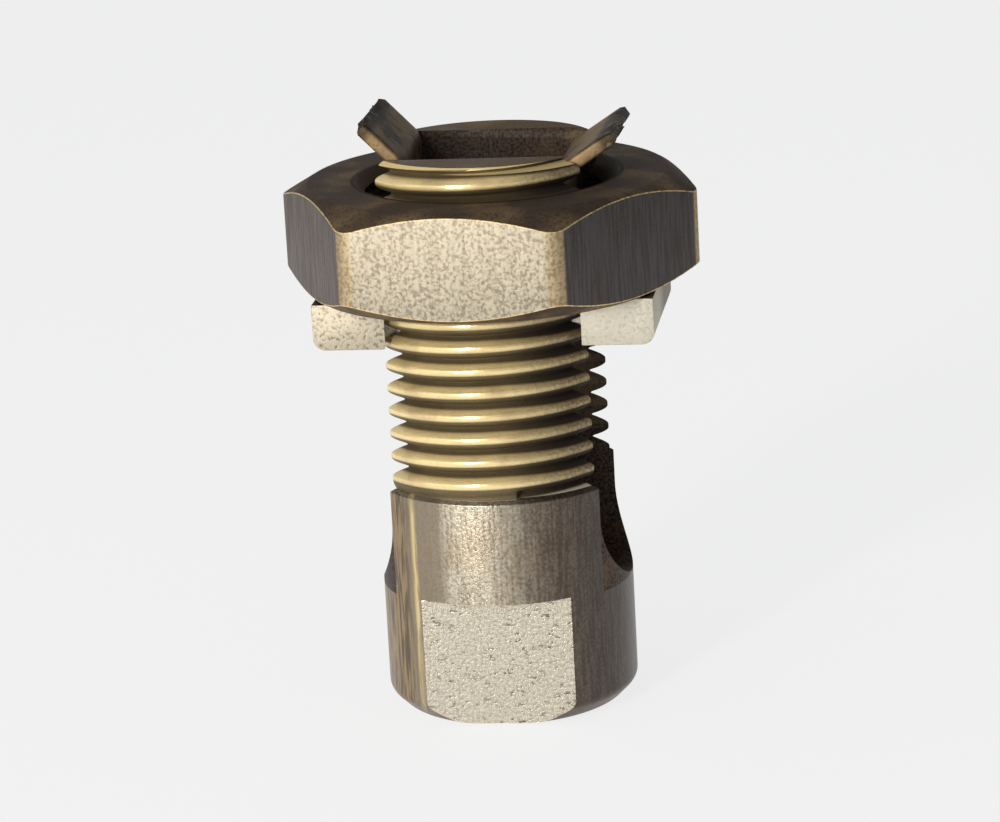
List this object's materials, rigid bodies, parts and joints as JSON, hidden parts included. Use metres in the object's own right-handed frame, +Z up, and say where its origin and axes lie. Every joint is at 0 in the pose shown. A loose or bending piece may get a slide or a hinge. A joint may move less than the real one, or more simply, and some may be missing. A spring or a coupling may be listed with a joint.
{
  "type": "split bolt connector",
  "caption": "Slotted bolt whose legs carry a hex nut and a sliding pressure bar, clamping bare cables side by side in the slot.",
  "frame": {"origin": "centre of the head's flat underside, on the bolt's axis", "axes": "+Z up the bolt's axis from the head to the leg tips, X along the cable slot, Y across the slot, with one pair of wrench flats facing -Y and +Y"},
  "size_m": [0.0272, 0.025, 0.0394],
  "materials": {
    "split_bolt": "dull tarnished brass on the head, bright on the cut thread",
    "nut": "dull tarnished brass",
    "pressure_bar": "dull tarnished brass"
  },
  "bodies": {
    "split_bolt": {"split_bolt": "split_bolt"},
    "pressure_bar": {"pressure_bar": "pressure_bar"},
    "nut": {"nut": "nut"}
  },
  "joints": [
    {"name": "bar_slide", "type": "slide", "parent": "split_bolt", "child": "pressure_bar", "axis": [0, 0, 1], "range_m": [-0.012, 0.009]},
    {"name": "nut_turn", "type": "hinge", "parent": "pressure_bar", "child": "nut", "pos_m": [0, 0, 0.0315], "axis": [0, 0, 1], "range_deg": [-2880, 2160]}
  ],
  "couplings": [
    {"joint": "bar_slide", "follows": "nut_turn", "m_per_rad": 0.00023873}
  ]
}
